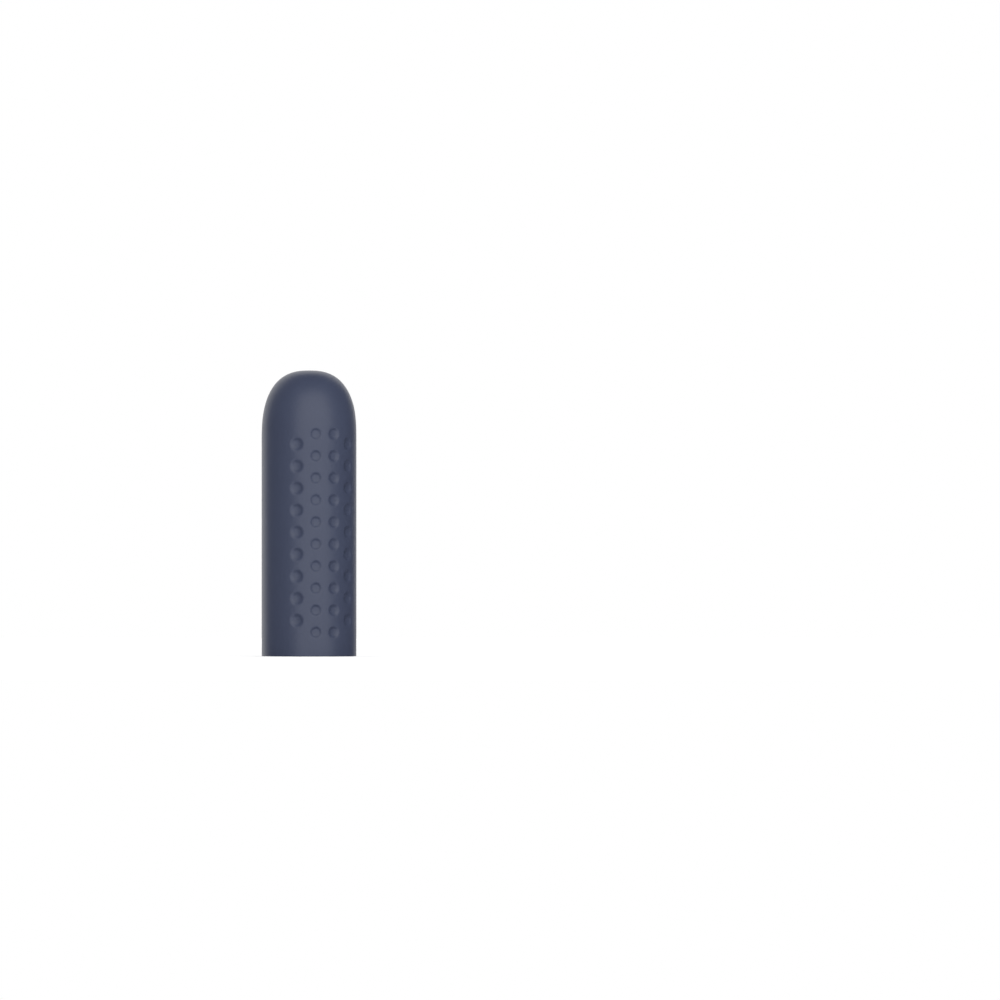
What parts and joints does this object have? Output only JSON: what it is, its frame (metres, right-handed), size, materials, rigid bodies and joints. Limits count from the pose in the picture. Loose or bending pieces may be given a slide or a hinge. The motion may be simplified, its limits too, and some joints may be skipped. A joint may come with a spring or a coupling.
{
  "type": "stylus tip protector",
  "caption": "Hollow dome-ended silicone cap with one flat side and dimpled grips, that pushes over the tip of a stylus to protect its nib.",
  "frame": {"origin": "on the cap's axis, in the plane of its open rim, on which it stands", "axes": "+Z along the cap from the open rim to the domed end, -Y out of the flat side, +X and -X out of the middles of the two dimpled grip zones"},
  "size_m": [0.0104, 0.0098, 0.0309],
  "materials": {
    "silicone": "dark slate-blue silicone with a soft matt skin"
  },
  "bodies": {
    "root": {"protector_cap": "silicone"}
  },
  "joints": []
}
